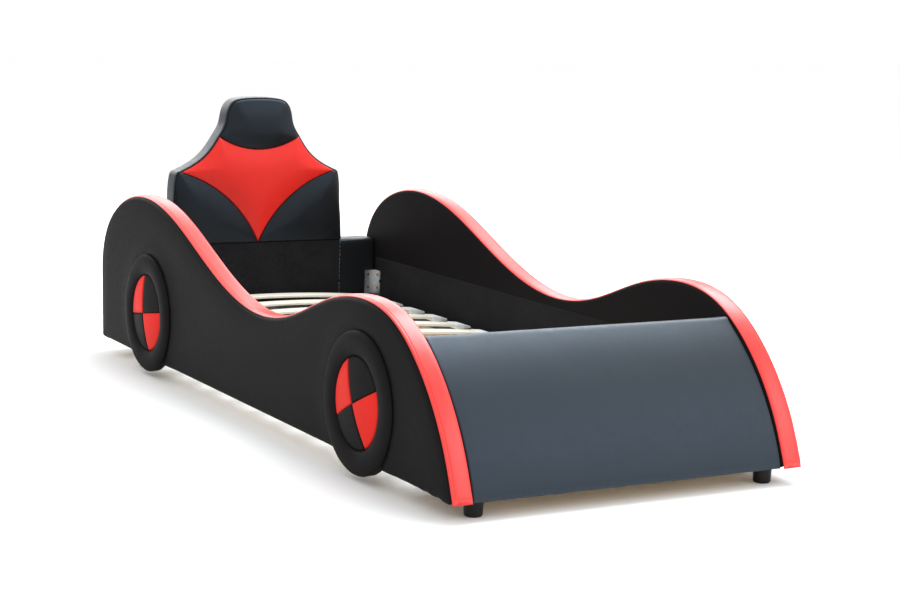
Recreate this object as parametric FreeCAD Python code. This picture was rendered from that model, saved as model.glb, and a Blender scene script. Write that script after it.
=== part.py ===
import FreeCAD, Part
import os

# Upholstered child's bed in the shape of a racing car, with a racing-seat headboard.
# Units are millimetres.  +X is right when looking from the foot end to the head end,
# +Y runs to the headboard, +Z is up.  The origin is on the floor under the middle.

V = FreeCAD.Vector
os.makedirs("parts", exist_ok=True)

# ---------------------------------------------------------------- driving dimensions
width_over_seams = 1040.0       # over the outer seams of the two side panels
strip_width = 55.0              # of the red edge strip, seam to seam
outer_crown = 12.0              # the padded outer faces swell this far past their seams
inner_crown = 5.0
side_board_thickness = 39.0
side_bottom = 49.0              # clearance of the side panels above the floor
half_length_seam = 1198.0       # to the seam of the red edge strip, each way
rear_foot_y = 1187.0            # the rear edge leans in a little towards the floor
trim_proud = 6.0                # the red strip stands this far outside the seam
cover_padding = 8.0             # leathercloth on thin foam, on the bonnet
lining_thickness = 2.0
lining_top = 294.0

headboard_front = 1103.0        # Y of the headboard's front face
headboard_depth = 85.0
seat_depth = 65.0               # of the racing seat above it, behind the same front
headboard_top = 362.0
seat_half_base = 316.0
pad_proud = 8.0                 # flat stand-in for the crown of the seat pads
gusset_thickness = 6.0
board_thickness = 18.0

bonnet_back = -940.0            # Y of the bonnet's top edge
bonnet_top = 394.0
bonnet_board_front = -915.0     # of the upright board behind the bonnet
bonnet_bottom = 46.0
bonnet_toe = -1196.0
bonnet_side_gap = 1.0

wheel_radius = 186.0
hub_radius = 120.0
wheel_height = 200.0            # of the wheel centres above the floor
wheel_board = 20.0              # let into the padding, and standing on the seam's plane
tyre_wall = 21.0
tyre_crest = 34.0
hub_edge = 23.0
hub_crest = 38.0
wheel_places = {"rear": 733.0, "front": -739.0}
wheel_turns = {"rear_left": 9.0, "front_left": 26.0, "rear_right": 17.0, "front_right": 34.0}

base_middle = 103.0             # Y of the slatted base's middle
base_length = 1990.0
base_half_width = 445.0
tube = 30.0
tube_wall = 1.5
base_top = 152.0                # top of the steel frame, where the slat caps sit
slat_count = 13
slat_pitch = 156.5
slat_width = 53.0
slat_thickness = 9.0
slat_half_length = 425.0
slat_end_height = 160.0         # of the slat's middle layer, at its ends
slat_bow = 21.5
cap_width = 60.0
cap_length = 56.0

ledger_depth = 35.0
ledger_height = 40.0
foot_x = {-1: 434.0, 1: 400.0}  # of the feet, at the foot end and at the head end
foot_y = 1150.0
bracket_leaf = 42.0
bracket_thickness = 2.5
bracket_top = 247.0
bracket_height = 85.0
notch_below = 30.0              # of the notch in each bracket's side leaf, from its top
notch_height = 12.0
notch_depth = 7.0

seam_outer = width_over_seams / 2
seam_inner = seam_outer - strip_width
side_outer = seam_outer + outer_crown
side_inner = seam_inner - inner_crown
board_outer = seam_outer - 8.0
board_inner = board_outer - side_board_thickness
SIDES = {"left": -1, "right": 1}


# ---------------------------------------------------------------- helpers
def box(x0, x1, y0, y1, z0, z1):
    low = V(min(x0, x1), min(y0, y1), min(z0, z1))
    return Part.makeBox(abs(x1 - x0), abs(y1 - y0), abs(z1 - z0), low)


def spline(points):
    curve = Part.BSplineCurve()
    curve.interpolate(points)
    return curve


def line(a, b):
    return Part.LineSegment(a, b).toShape()


def arc(a, b, c):
    return Part.Arc(a, b, c).toShape()


def plate(edges, thickness):
    """A flat closed outline, thickened by the vector given."""
    face = Part.Face(Part.Wire(Part.__sortEdges__(edges)))
    return face.extrude(thickness)


def mirrored(shape):
    return shape.mirror(V(0, 0, 0), V(1, 0, 0))


def on_side(shape, side):
    """Shapes of the side panels are drawn for the right side."""
    return shape if side == "right" else mirrored(shape)


def cut_all(shape, tools):
    return shape.cut(Part.makeCompound(tools)) if tools else shape


def export(name, shape):
    solids = shape.Solids
    for solid in solids:
        if not solid.isValid() or not solid.isClosed():
            raise ValueError(name + " holds a bad solid")
    result = solids[0] if len(solids) == 1 else Part.makeCompound(solids)
    result.exportStep("parts/" + name + ".step")
    b = result.BoundBox
    sizes = (b.XMin, b.XMax, b.YMin, b.YMax, b.ZMin, b.ZMax)
    print("%-24s %2d solid(s)" % (name, len(solids)), *["%8.1f" % size for size in sizes])


# ---------------------------------------------------------------- side panel outline
# The seam runs from the top of the straight rear edge, over the rear arch, down into
# the entry dip, over the front wing and down the nose.
SEAM = [(half_length_seam, 300), (1131, 449), (954, 540), (820, 556), (602, 522), (357, 430),
        (130, 351), (-87, 321), (-290, 351), (-500, 425), (-699, 461), (-870, 434),
        (-997, 355), (-1093, 252), (-1158, 145), (-half_length_seam, side_bottom)]


def seam_curve(x):
    return spline([V(x, y, z) for y, z in SEAM])


def seam_offset_curve(x, distance, samples=60):
    """The seam's curve, moved outwards by the distance."""
    seam = seam_curve(x)
    points = []
    for i in range(samples + 1):
        u = seam.FirstParameter + (seam.LastParameter - seam.FirstParameter) * i / samples
        along = seam.tangent(u)[0]
        outwards = V(0, along.z, -along.y)
        points.append(seam.value(u) + outwards * distance)
    return spline(points)


def side_slab(x0, x1):
    """The side panel's outline, filled from x0 to x1."""
    rear_foot = V(x0, rear_foot_y, side_bottom)
    rear_top = V(x0, half_length_seam, SEAM[0][1])
    nose = V(x0, -half_length_seam, side_bottom)
    edges = [seam_curve(x0).toShape(), line(nose, rear_foot), line(rear_foot, rear_top)]
    return plate(edges, V(x1 - x0, 0, 0))


def side_trim():
    """The red strip, which follows the whole edge except the bottom."""
    outside = half_length_seam + trim_proud
    x = seam_inner
    z = side_bottom
    outer = seam_offset_curve(x, trim_proud)
    outer_start = outer.value(outer.FirstParameter)
    outer_end = outer.value(outer.LastParameter)
    heel = V(x, rear_foot_y, z)
    heel_outside = V(x, rear_foot_y + trim_proud, z)
    edges = [seam_curve(x).toShape(), outer.toShape(),
             line(heel, V(x, half_length_seam, SEAM[0][1])),
             line(heel_outside, outer_start),
             line(heel, heel_outside),
             line(V(x, -half_length_seam, z), V(x, -outside, z)),
             line(V(x, -outside, z), outer_end)]
    return plate(edges, V(strip_width, 0, 0))


def outer_cover():
    """The padded outer face, rounded down to its seam and pressed in under the wheels."""
    slab = side_slab(board_outer, side_outer)
    rim = [edge for edge in slab.Edges if edge.BoundBox.XMin > side_outer - 0.1]
    slab = slab.makeFillet(outer_crown - 2.0, rim)
    seats = [Part.makeCylinder(wheel_radius, outer_crown + 1, V(seam_outer, y, wheel_height), V(1, 0, 0))
             for y in wheel_places.values()]
    return cut_all(slab, seats)


def side_lining():
    """Non-woven cloth over the lower part of the inner face."""
    slab = side_slab(side_inner, side_inner + lining_thickness)
    return slab.common(box(side_inner, side_inner + lining_thickness, -half_length_seam,
                           headboard_front - 1, side_bottom + 4, lining_top))


# ---------------------------------------------------------------- fasteners
def wood_screw(start, direction, shank_r, length, head_r, head_h):
    """A pan-head screw: the shank goes along direction from the seat of the head."""
    shank = Part.makeCylinder(shank_r, length, start, direction)
    head = Part.makeCylinder(head_r, head_h, start - direction * head_h, direction)
    return shank.fuse(head).removeSplitter()


LEDGER_SCREW_YS = [base_middle + step * 360.0 for step in (-2.5, -1.5, -0.5, 0.5, 1.5, 2.5)]


def ledger_screws(side):
    sign = SIDES[side]
    height = base_top - tube - ledger_height / 2
    start_x = sign * (side_inner - ledger_depth)
    return [wood_screw(V(start_x, y, height), V(sign, 0, 0), 2.5, 66.0, 5.0, 3.0)
            for y in LEDGER_SCREW_YS]


BRACKET_SCREW_HEIGHTS = (bracket_top - 61.0, bracket_top - 15.0)
BRACKETS = [(side, end) for side in SIDES for end in ("head", "foot")]


def bracket_corner(side, end):
    """The corner line where the two leaves meet, and the way into the bed along Y."""
    x = SIDES[side] * side_inner
    if end == "head":
        return x, headboard_front, -1
    return x, bonnet_inner_face(), 1


def bracket(side, end):
    x, y, inwards = bracket_corner(side, end)
    sign = SIDES[side]
    z0 = bracket_top - bracket_height
    leaf_side = box(x, x - sign * bracket_thickness, y, y + inwards * bracket_leaf, z0, bracket_top)
    leaf_end = box(x, x - sign * bracket_leaf, y, y + inwards * bracket_thickness, z0, bracket_top)
    shape = leaf_side.fuse(leaf_end).removeSplitter()
    notch_y = y + inwards * bracket_leaf
    notch = box(x, x - sign * bracket_thickness, notch_y, notch_y - inwards * notch_depth,
                bracket_top - notch_below - notch_height, bracket_top - notch_below)
    return shape.cut(notch)


def bracket_screw_set(side, end):
    x, y, inwards = bracket_corner(side, end)
    sign = SIDES[side]
    screws = []
    for z in BRACKET_SCREW_HEIGHTS:
        at_side = V(x - sign * bracket_thickness, y + inwards * 24.0, z)
        at_end = V(x - sign * 29.0, y + inwards * bracket_thickness, z)
        screws.append(wood_screw(at_side, V(sign, 0, 0), 2.2, 30.0, 4.6, 2.4))
        screws.append(wood_screw(at_end, V(0, -inwards, 0), 2.2, 20.0, 4.6, 2.4))
    return screws


FEET = {"front_left": (-1, -1), "front_right": (1, -1), "rear_left": (-1, 1), "rear_right": (1, 1)}


def foot_place(place, height):
    x_sign, y_sign = FEET[place]
    return V(x_sign * foot_x[y_sign], y_sign * foot_y, height)


def foot_bolt(place):
    return Part.makeCylinder(4.0, 72.0, foot_place(place, 8.0))


def foot(place):
    """A tapered plastic foot with a rounded tread, threaded on its bolt."""
    top_r, tread_r, tread_edge = 25.0, 23.0, 6.0
    profile = [V(0, 0, 0), V(tread_r - tread_edge, 0, 0)]
    edges = [line(profile[0], profile[1]),
             arc(profile[1], V(tread_r - 1.8, 0, 1.8), V(tread_r, 0, tread_edge)),
             line(V(tread_r, 0, tread_edge), V(top_r, 0, side_bottom)),
             line(V(top_r, 0, side_bottom), V(0, 0, side_bottom)),
             line(V(0, 0, side_bottom), profile[0])]
    turned = Part.Face(Part.Wire(edges)).revolve(V(0, 0, 0), V(0, 0, 1), 360)
    turned.translate(foot_place(place, 0.0))
    return turned.cut(foot_bolt(place))


# ---------------------------------------------------------------- side panels
def build_sides(screws):
    layers = {
        "side_cover_outer": outer_cover(),
        "side_board": side_slab(board_inner, board_outer),
        "side_cover_inner": side_slab(side_inner + lining_thickness, board_inner),
    }
    for side in SIDES:
        for name, slab in layers.items():
            export(name + "_" + side, cut_all(on_side(slab, side), screws))
        export("side_lining_" + side, cut_all(on_side(side_lining(), side), screws))
        export("side_trim_" + side, on_side(side_trim(), side))
        sign = SIDES[side]
        top = base_top - tube
        half = base_length / 2
        ledger = box(sign * side_inner, sign * (side_inner - ledger_depth),
                     base_middle - half, base_middle + half, top - ledger_height, top)
        export("ledger_" + side, cut_all(ledger, ledger_screws(side)))


# ---------------------------------------------------------------- wheels
def turned_about_x(edges, angle=360.0):
    """Profiles are drawn with X outwards from the panel and Z along the radius."""
    face = Part.Face(Part.Wire(edges))
    return face.revolve(V(0, 0, 0), V(1, 0, 0), angle)


def tyre_ring():
    """A broad, low padded ring wrapped over the edge of its board."""
    rim = hub_radius + 1.0
    board_edge = wheel_radius - 8.0
    middle = (rim + wheel_radius) / 2
    edges = [line(V(wheel_board, 0, rim), V(hub_edge, 0, rim)),
             arc(V(hub_edge, 0, rim), V(tyre_crest, 0, middle), V(tyre_wall, 0, wheel_radius)),
             line(V(tyre_wall, 0, wheel_radius), V(0, 0, wheel_radius)),
             line(V(0, 0, wheel_radius), V(0, 0, board_edge)),
             line(V(0, 0, board_edge), V(wheel_board, 0, board_edge)),
             line(V(wheel_board, 0, board_edge), V(wheel_board, 0, rim))]
    return turned_about_x(edges)


def hub_dome():
    half_way = hub_edge + (hub_crest - hub_edge) * 0.75
    edges = [line(V(wheel_board, 0, 0), V(hub_crest, 0, 0)),
             arc(V(hub_crest, 0, 0), V(half_way, 0, hub_radius / 2), V(hub_edge, 0, hub_radius)),
             line(V(hub_edge, 0, hub_radius), V(wheel_board, 0, hub_radius)),
             line(V(wheel_board, 0, hub_radius), V(wheel_board, 0, 0))]
    return turned_about_x(edges)


def hub_quarters(dome, signs, seam=1.0):
    """The two opposite quarters of the hub, a seam's width clear of the others."""
    quarters = []
    for y_sign, z_sign in signs:
        reach = hub_radius + 10
        corner = box(0, hub_crest + 10, y_sign * seam, y_sign * reach, z_sign * seam, z_sign * reach)
        quarters.append(dome.common(corner))
    return Part.makeCompound(quarters)


def build_wheels():
    dome = hub_dome()
    tyre = tyre_ring()
    disc = Part.makeCylinder(wheel_radius - 8.0, wheel_board, V(0, 0, 0), V(1, 0, 0))
    parts = {"tyre_ring": tyre,
             "hub_red": hub_quarters(dome, [(1, 1), (-1, -1)]),
             "hub_black": hub_quarters(dome, [(1, -1), (-1, 1)])}
    for side in SIDES:
        boards = []
        for end, y in wheel_places.items():
            place = end + "_" + side
            centre = V(seam_outer, y, wheel_height)
            for name, shape in parts.items():
                piece = shape.copy()
                if name.startswith("hub"):
                    piece.rotate(V(0, 0, 0), V(1, 0, 0), -wheel_turns[place])
                piece.translate(centre)
                export(name + "_" + place, on_side(piece, side))
            boards.append(disc.translated(centre))
        export("wheel_boards_" + side, on_side(Part.makeCompound(boards), side))


# ---------------------------------------------------------------- headboard and seat
tongue_half_width = 250.0       # of the seat board, where it runs down inside the headboard
seat_post_x = 90.0              # inner sides of the two posts behind the seat board
seat_post_top = 620.0
SHOULDER = (285.0, 606.0)       # where the red panel's wing tips end
NECK = (147.0, 725.0)           # where the headrest meets the red panel


def seat_edges(y, grow=0.0):
    """The right flank and wing of the seat's outline, and the whole crown of its headrest."""
    s = V(SHOULDER[0] + grow, y, SHOULDER[1] + grow)
    n = V(NECK[0] + grow, y, NECK[1])
    flank = [arc(V(seat_half_base + grow, y, headboard_top), V(307 + grow, y, 500), V(302 + grow, y, 590)),
             arc(V(302 + grow, y, 590), V(298 + grow * 1.1, y, 601 + grow * 0.7), s)]
    wing = [spline([s, V(221 + grow, y, 640 + grow * 0.7), V(181 + grow, y, 676), n]).toShape()]
    rise = [n, V(123 + grow, y, 768), V(113 + grow, y, 813), V(96 + grow, y, 840 + grow * 0.7),
            V(62, y, 851 + grow)]
    fall = [V(-p.x, y, p.z) for p in reversed(rise)]
    crown = [spline(rise + [V(0, y, 854 + grow)] + fall).toShape()]
    return flank, wing, crown


def both_halves(edges):
    return edges + [mirrored(edge) for edge in edges]


def seat_slab(y0, y1, grow=0.0):
    flank, wing, crown = seat_edges(y0, grow)
    half_base = seat_half_base + grow
    base = line(V(-half_base, y0, headboard_top), V(half_base, y0, headboard_top))
    return plate(both_halves(flank + wing) + crown + [base], V(0, y1 - y0, 0))


def lobe_line(y):
    """The seam between the red panel and the right-hand lobe."""
    return arc(V(SHOULDER[0], y, SHOULDER[1]), V(116, y, 517), V(0, y, headboard_top))


def neck_line(y):
    return arc(V(-NECK[0], y, NECK[1]), V(0, y, 682), V(NECK[0], y, NECK[1]))


def build_seat():
    front = headboard_front - pad_proud
    board_front = headboard_front + 22.0
    board_back = board_front + board_thickness
    rear = headboard_front + seat_depth
    depth = V(0, board_front - front, 0)
    flank, wing, crown = seat_edges(front)

    export("headrest_pad", plate(crown + [neck_line(front)], depth))
    lobes = both_halves([lobe_line(front)])
    export("seat_centre_pad", plate(both_halves(wing) + [neck_line(front)] + lobes, depth))
    base = line(V(0, front, headboard_top), V(seat_half_base, front, headboard_top))
    lobe = plate(flank + [lobe_line(front), base], depth)
    export("seat_pad_right", lobe)
    export("seat_pad_left", mirrored(lobe))

    low = side_bottom + 10
    tongue = box(-tongue_half_width, tongue_half_width, board_front, board_back, low, headboard_top)
    board = seat_slab(board_front, board_back).fuse(tongue).removeSplitter()
    posts = [box(sign * seat_post_x, sign * (seat_post_x + 60), board_back, rear - 7,
                 low, seat_post_top) for sign in (-1, 1)]
    post_in, post_out = foot_x[1] - 22, foot_x[1] + 22
    corner_posts = [box(sign * post_in, sign * post_out, headboard_front + 26,
                        headboard_front + headboard_depth - 8, side_bottom, headboard_top - 8)
                    for sign in (-1, 1)]
    bolts = [foot_bolt(place) for place in FEET]
    export("seat_board", board)
    export("headboard_posts", cut_all(Part.makeCompound(posts + corner_posts), bolts))

    shell = seat_slab(headboard_front, rear, gusset_thickness)
    export("seat_gusset", shell.cut(seat_slab(headboard_front, rear)))
    export("seat_back_cover", seat_slab(rear - 6, rear))
    return board, posts


staple_count = 20
staple_pitch = 14.5
staple_length = 9.5


def build_headboard(screws, board, posts):
    half = side_inner - 1.0
    front = headboard_front
    rear = front + headboard_depth
    outside = box(-half, half, front, rear, side_bottom, headboard_top)
    top_edges = [edge for edge in outside.Edges
                 if edge.BoundBox.ZMin > headboard_top - 1 and edge.Length > headboard_depth + 1]
    outside = outside.makeFillet(14.0, top_edges)
    hollow = box(-half + 8, half - 8, front + 8, rear - 8, side_bottom, headboard_top - 8)
    cover = outside.cut(hollow).cut(board).cut(Part.makeCompound(posts))
    export("headboard_cover", cut_all(cover, screws))
    panel = box(-half + 8, half - 8, front + 8, front + 26, side_bottom, headboard_top - 8)
    export("headboard_board", cut_all(panel, screws))

    cloth = box(-seat_half_base, seat_half_base, front - lining_thickness, front,
                side_bottom + 3, headboard_top - 2)
    export("headboard_lining", cloth)
    staples = []
    for sign in (-1, 1):
        for i in range(staple_count):
            z = side_bottom + 20 + i * staple_pitch
            x = sign * (seat_half_base + 0.4)
            staples.append(box(x, x + sign * 1.2, front - 0.8, front, z, z + staple_length))
    export("headboard_staples", Part.makeCompound(staples))


# ---------------------------------------------------------------- bonnet at the foot end
BONNET_MIDDLE = (-1090.5, 249.5)


def bonnet_arc_data():
    """Centre and radius of the arc that the bonnet's outer face follows."""
    toe = V(0, bonnet_toe, bonnet_bottom)
    circle = arc(toe, V(0, *BONNET_MIDDLE), V(0, bonnet_back, bonnet_top)).Curve
    return circle.Center, circle.Radius


BONNET_BOARD = 15.0


def bonnet_inner_face():
    return bonnet_board_front + BONNET_BOARD + lining_thickness


def bonnet_cylinder(inset, half_width):
    centre, radius = bonnet_arc_data()
    start = V(-half_width, centre.y, centre.z)
    return Part.makeCylinder(radius - inset, 2 * half_width, start, V(1, 0, 0))


def bonnet_wedge(inset, half_width, back, bottom, top):
    """Everything under the bonnet's curve, cut off by the back, bottom and top planes."""
    region = box(-half_width, half_width, bonnet_toe - 40, back, bottom, top)
    return bonnet_cylinder(inset, half_width).common(region)


def build_bonnet(screws):
    half = side_inner - bonnet_side_gap
    skin_inset = cover_padding
    rib_inset = cover_padding + 9.0
    board_front = bonnet_board_front
    board_back = board_front + BONNET_BOARD
    bolts = [foot_bolt(place) for place in FEET]

    cover = bonnet_wedge(0, half, board_front, bonnet_bottom, bonnet_top + 4)
    cover = cover.cut(bonnet_cylinder(skin_inset, half + 1))
    export("bonnet_cover", cover)
    skin = bonnet_wedge(skin_inset, half - 6, board_front, side_bottom, bonnet_top)
    export("bonnet_skin", skin.cut(bonnet_cylinder(rib_inset, half)))

    rail_top = side_bottom + 38
    ribs = []
    for x in (-300.0, 0.0, 300.0):
        rib = bonnet_wedge(rib_inset, half, board_front, rail_top, bonnet_top)
        ribs.append(rib.common(box(x - 9, x + 9, bonnet_toe, board_front, rail_top, bonnet_top)))
    export("bonnet_ribs", Part.makeCompound(ribs))
    rail = bonnet_wedge(rib_inset, half - 6, board_front, side_bottom, rail_top)
    export("bonnet_bottom_rail", cut_all(rail, bolts))

    board = box(-half, half, board_front, board_back, side_bottom, bonnet_top - 2)
    export("bonnet_back_board", cut_all(board, screws))
    cloth = box(-half, half, board_back, board_back + lining_thickness, side_bottom + 4, bonnet_top - 12)
    export("bonnet_lining", cut_all(cloth, screws))


# ---------------------------------------------------------------- slatted base
def square_tube(x0, x1, y0, y1, along):
    z0, z1 = base_top - tube, base_top
    w = tube_wall
    solid = box(x0, x1, y0, y1, z0, z1)
    if along == "y":
        return solid.cut(box(min(x0, x1) + w, max(x0, x1) - w, y0, y1, z0 + w, z1 - w))
    return solid.cut(box(x0, x1, min(y0, y1) + w, max(y0, y1) - w, z0 + w, z1 - w))


def slat(y):
    """One bowed slat, glued up from thin layers, as part of a ring."""
    half = slat_half_length
    radius = (half * half + slat_bow * slat_bow) / (2 * slat_bow)
    centre = V(0, y - slat_width / 2, slat_end_height + slat_bow - radius)
    outer = Part.makeCylinder(radius + slat_thickness / 2, slat_width, centre, V(0, 1, 0))
    inner = Part.makeCylinder(radius - slat_thickness / 2, slat_width, centre, V(0, 1, 0))
    span = box(-half, half, y - slat_width, y + slat_width, 0, 400)
    return outer.cut(inner).common(span)


def slat_cap(y, sign, bent):
    """A tapered plastic holder that closes over the slat's end and clips on the tube."""
    tip = base_half_width - 1
    root = tip - cap_length
    outline = [(root, base_top), (tip, base_top), (tip, base_top + 8), (tip - 19, base_top + 16.5),
               (root, base_top + 20.5)]
    points = [V(x, y - cap_width / 2, z) for x, z in outline]
    edges = [line(a, b) for a, b in zip(points, points[1:] + points[:1])]
    cap = plate(edges, V(0, cap_width, 0))
    cap = cap if sign > 0 else mirrored(cap)
    return cap.cut(bent)


def build_base():
    low = base_middle - base_length / 2
    high = base_middle + base_length / 2
    out = base_half_width
    for side, sign in SIDES.items():
        export("base_side_tube_" + side, square_tube(sign * out, sign * (out - tube), low, high, "y"))
    ends = [square_tube(-out + tube, out - tube, y, y + tube, "x") for y in (low, high - tube)]
    export("base_end_tubes", Part.makeCompound(ends))
    export("base_centre_tube", square_tube(-tube / 2, tube / 2, low + tube, high - tube, "y"))

    legs = []
    for y in (base_middle - 420, base_middle + 420):
        leg = Part.makeCylinder(14.0, base_top - tube - 6, V(0, y, 6))
        pad = Part.makeCylinder(19.0, 6.0, V(0, y, 0))
        legs.append(leg.fuse(pad).removeSplitter())
    export("centre_legs", Part.makeCompound(legs))

    slats = []
    caps = []
    for i in range(slat_count):
        y = base_middle + (i - (slat_count - 1) / 2) * slat_pitch
        bent = slat(y)
        slats.append(bent)
        caps += [slat_cap(y, sign, bent) for sign in (-1, 1)]
    export("slats", Part.makeCompound(slats))
    export("slat_caps", Part.makeCompound(caps))


# ---------------------------------------------------------------- the whole bed
def build():
    ledger_set = ledger_screws("left") + ledger_screws("right")
    bracket_set = []
    for side, end in BRACKETS:
        bracket_set += bracket_screw_set(side, end)
    build_sides(ledger_set + bracket_set)
    build_wheels()
    board, posts = build_seat()
    build_headboard(bracket_set, board, posts)
    build_bonnet(bracket_set)
    build_base()
    brackets = [bracket(side, end) for side, end in BRACKETS]
    export("corner_brackets", cut_all(Part.makeCompound(brackets), bracket_set))
    export("bracket_screws", Part.makeCompound(bracket_set))
    export("ledger_screws", Part.makeCompound(ledger_set))
    for place in FEET:
        export("foot_" + place, foot(place))
    export("foot_bolts", Part.makeCompound([foot_bolt(place) for place in FEET]))


build()
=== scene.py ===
import math

import bmesh
import bpy
import numpy as np
from mathutils import Matrix, Vector, noise
from mathutils.geometry import delaunay_2d_cdt


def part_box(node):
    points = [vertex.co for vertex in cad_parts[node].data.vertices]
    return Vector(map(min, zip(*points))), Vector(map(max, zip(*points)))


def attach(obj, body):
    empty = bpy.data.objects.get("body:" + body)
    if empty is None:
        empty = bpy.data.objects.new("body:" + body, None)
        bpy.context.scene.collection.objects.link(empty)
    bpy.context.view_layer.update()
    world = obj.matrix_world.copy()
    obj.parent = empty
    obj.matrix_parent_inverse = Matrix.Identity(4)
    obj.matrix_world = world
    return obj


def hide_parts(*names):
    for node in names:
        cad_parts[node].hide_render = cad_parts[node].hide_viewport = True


# Racing car bed: leathercloth panels, padded wheels and a racing seat, dressed round the CAD frame.
# Metres.  +Y runs to the headboard, +Z is up, and "right" is +X.

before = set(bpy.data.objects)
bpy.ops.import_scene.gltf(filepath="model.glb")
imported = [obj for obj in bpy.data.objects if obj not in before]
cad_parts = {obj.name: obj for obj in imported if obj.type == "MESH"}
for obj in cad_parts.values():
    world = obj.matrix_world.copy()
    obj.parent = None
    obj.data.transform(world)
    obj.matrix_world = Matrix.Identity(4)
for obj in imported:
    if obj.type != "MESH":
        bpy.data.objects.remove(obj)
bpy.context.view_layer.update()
BODY = "root"
SIDES = {"left": -1, "right": 1}

# ------------------ places read from the frame
SEAM_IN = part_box("side_trim_right")[0].x
SEAM_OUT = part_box("side_trim_right")[1].x
SEAM_MID = (SEAM_OUT + SEAM_IN) / 2
LINING_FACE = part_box("side_lining_right")[0].x
PANEL_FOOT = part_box("side_board_right")[0].z
LINING_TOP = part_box("side_lining_right")[1].z
HEAD_LOW, HEAD_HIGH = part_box("headboard_cover")
SEAT_BASE = HEAD_HIGH.z
SEAT_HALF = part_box("seat_pad_right")[1].x
SEAT_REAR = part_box("seat_gusset")[1].y
BONNET_LOW, BONNET_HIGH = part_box("bonnet_cover")
BONNET_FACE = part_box("bonnet_lining")[1].y
SLAT_LOW, SLAT_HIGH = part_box("slats")
CAP_LOW, CAP_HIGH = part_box("slat_caps")

TRIM_PROUD = 0.0062
WHEEL_BOARD = 0.020
WHEEL_RADIUS = 0.186
HUB_RADIUS = 0.1195
WHEEL_PLACES = {"rear": (0.733, 0.200), "front": (-0.739, 0.200)}
REAR_FOOT = (1.187, 0.049)
WHEEL_TURNS = {"rear_left": 9, "front_left": 26, "rear_right": 17, "front_right": 34}

# The seam of the side panel, from the top of its straight rear edge to its nose (Y, Z).
SEAM = [(1.198, 0.300), (1.1956, 0.322), (1.1914, 0.343), (1.1855, 0.363), (1.1778, 0.382),
        (1.1573, 0.418), (1.131, 0.449), (0.954, 0.540), (0.820, 0.556), (0.602, 0.522),
        (0.357, 0.430), (0.130, 0.351), (-0.087, 0.321), (-0.290, 0.351), (-0.500, 0.425),
        (-0.699, 0.461), (-0.870, 0.434), (-0.997, 0.355), (-1.093, 0.252), (-1.158, 0.145),
        (-1.198, 0.049)]

# The racing seat's outline (X, Z), right half.
SHOULDER = (0.285, 0.606)
NECK = (0.147, 0.725)
NECK_MIDDLE = (0.0, 0.682)
LOBE_MIDDLE = (0.116, 0.517)
WING = [SHOULDER, (0.221, 0.640), (0.181, 0.676), NECK]
CROWN = [NECK, (0.123, 0.768), (0.113, 0.813), (0.096, 0.840), (0.062, 0.851), (0.0, 0.854)]
FLANK = [(SEAT_HALF, SEAT_BASE), (0.3115, 0.440), (0.306, 0.510), (0.302, 0.575), (0.298, 0.596)]


# ------------------ curves
def smooth_curve(points, step):
    """A natural cubic spline through the points, sampled about every step."""
    p = np.array(points, float)
    h = np.linalg.norm(np.diff(p, axis=0), axis=1)
    t = np.concatenate([[0], np.cumsum(h)])
    n = len(t)
    a = np.eye(n)
    b = np.zeros(p.shape)
    for i in range(1, n - 1):
        a[i, i - 1:i + 2] = h[i - 1], 2 * (h[i - 1] + h[i]), h[i]
        b[i] = 6 * ((p[i + 1] - p[i]) / h[i] - (p[i] - p[i - 1]) / h[i - 1])
    m = np.linalg.solve(a, b)
    s = np.linspace(0, t[-1], max(2, int(round(t[-1] / step)) + 1))
    k = np.clip(np.searchsorted(t, s, side="right") - 1, 0, n - 2)
    u = ((s - t[k]) / h[k])[:, None]
    v = 1 - u
    bend = (h[k] ** 2)[:, None] / 6
    return v * p[k] + u * p[k + 1] + bend * ((v ** 3 - v) * m[k] + (u ** 3 - u) * m[k + 1])


def straight(a, b, step):
    count = max(1, int(round(np.linalg.norm(np.subtract(b, a)) / step)))
    return np.linspace(a, b, count + 1)


def circle_arc(a, b, c, step):
    """The arc from a to c through b."""
    (ax, ay), (bx, by), (cx, cy) = a, b, c
    d = 2 * (ax * (by - cy) + bx * (cy - ay) + cx * (ay - by))
    sq = [x * x + y * y for x, y in (a, b, c)]
    ux = (sq[0] * (by - cy) + sq[1] * (cy - ay) + sq[2] * (ay - by)) / d
    uy = (sq[0] * (cx - bx) + sq[1] * (ax - cx) + sq[2] * (bx - ax)) / d
    angles = np.unwrap([math.atan2(y - uy, x - ux) for x, y in (a, b, c)])
    radius = math.hypot(ax - ux, ay - uy)
    count = max(2, int(round(abs(angles[2] - angles[0]) * radius / step)))
    turn = np.linspace(angles[0], angles[2], count + 1)
    return np.column_stack([ux + radius * np.cos(turn), uy + radius * np.sin(turn)])


def joined(*edges):
    """Edges laid end to end, with each shared corner kept once."""
    points = [edges[0]]
    for edge in edges[1:]:
        points.append(edge[1:] if np.allclose(points[-1][-1], edge[0], atol=1e-5) else edge)
    return np.vstack(points)


def closed_outline(*edges):
    loop = joined(*edges)
    if np.allclose(loop[0], loop[-1], atol=1e-5):
        loop = loop[:-1]
    x, y = loop.T
    area = np.sum(x * np.roll(y, -1) - np.roll(x, -1) * y)
    return loop if area > 0 else loop[::-1]


def flipped(points):
    """The same edge on the other side of the middle, walked the other way."""
    return np.column_stack([-points[::-1, 0], points[::-1, 1]])


def outward_normals(path):
    """Normals on the left of a path that runs clockwise round the top of its shape."""
    along = np.gradient(path, axis=0)
    along /= np.linalg.norm(along, axis=1)[:, None]
    return np.column_stack([along[:, 1], -along[:, 0]])


def path_lengths(path):
    return np.concatenate([[0], np.cumsum(np.linalg.norm(np.diff(path, axis=0), axis=1))])


def wander(values, scale, seed):
    """Smooth noise along one value, from about -1 to 1."""
    return np.array([noise.noise(Vector((v / scale, seed, 0.37 * seed))) for v in np.ravel(values)])


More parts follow.
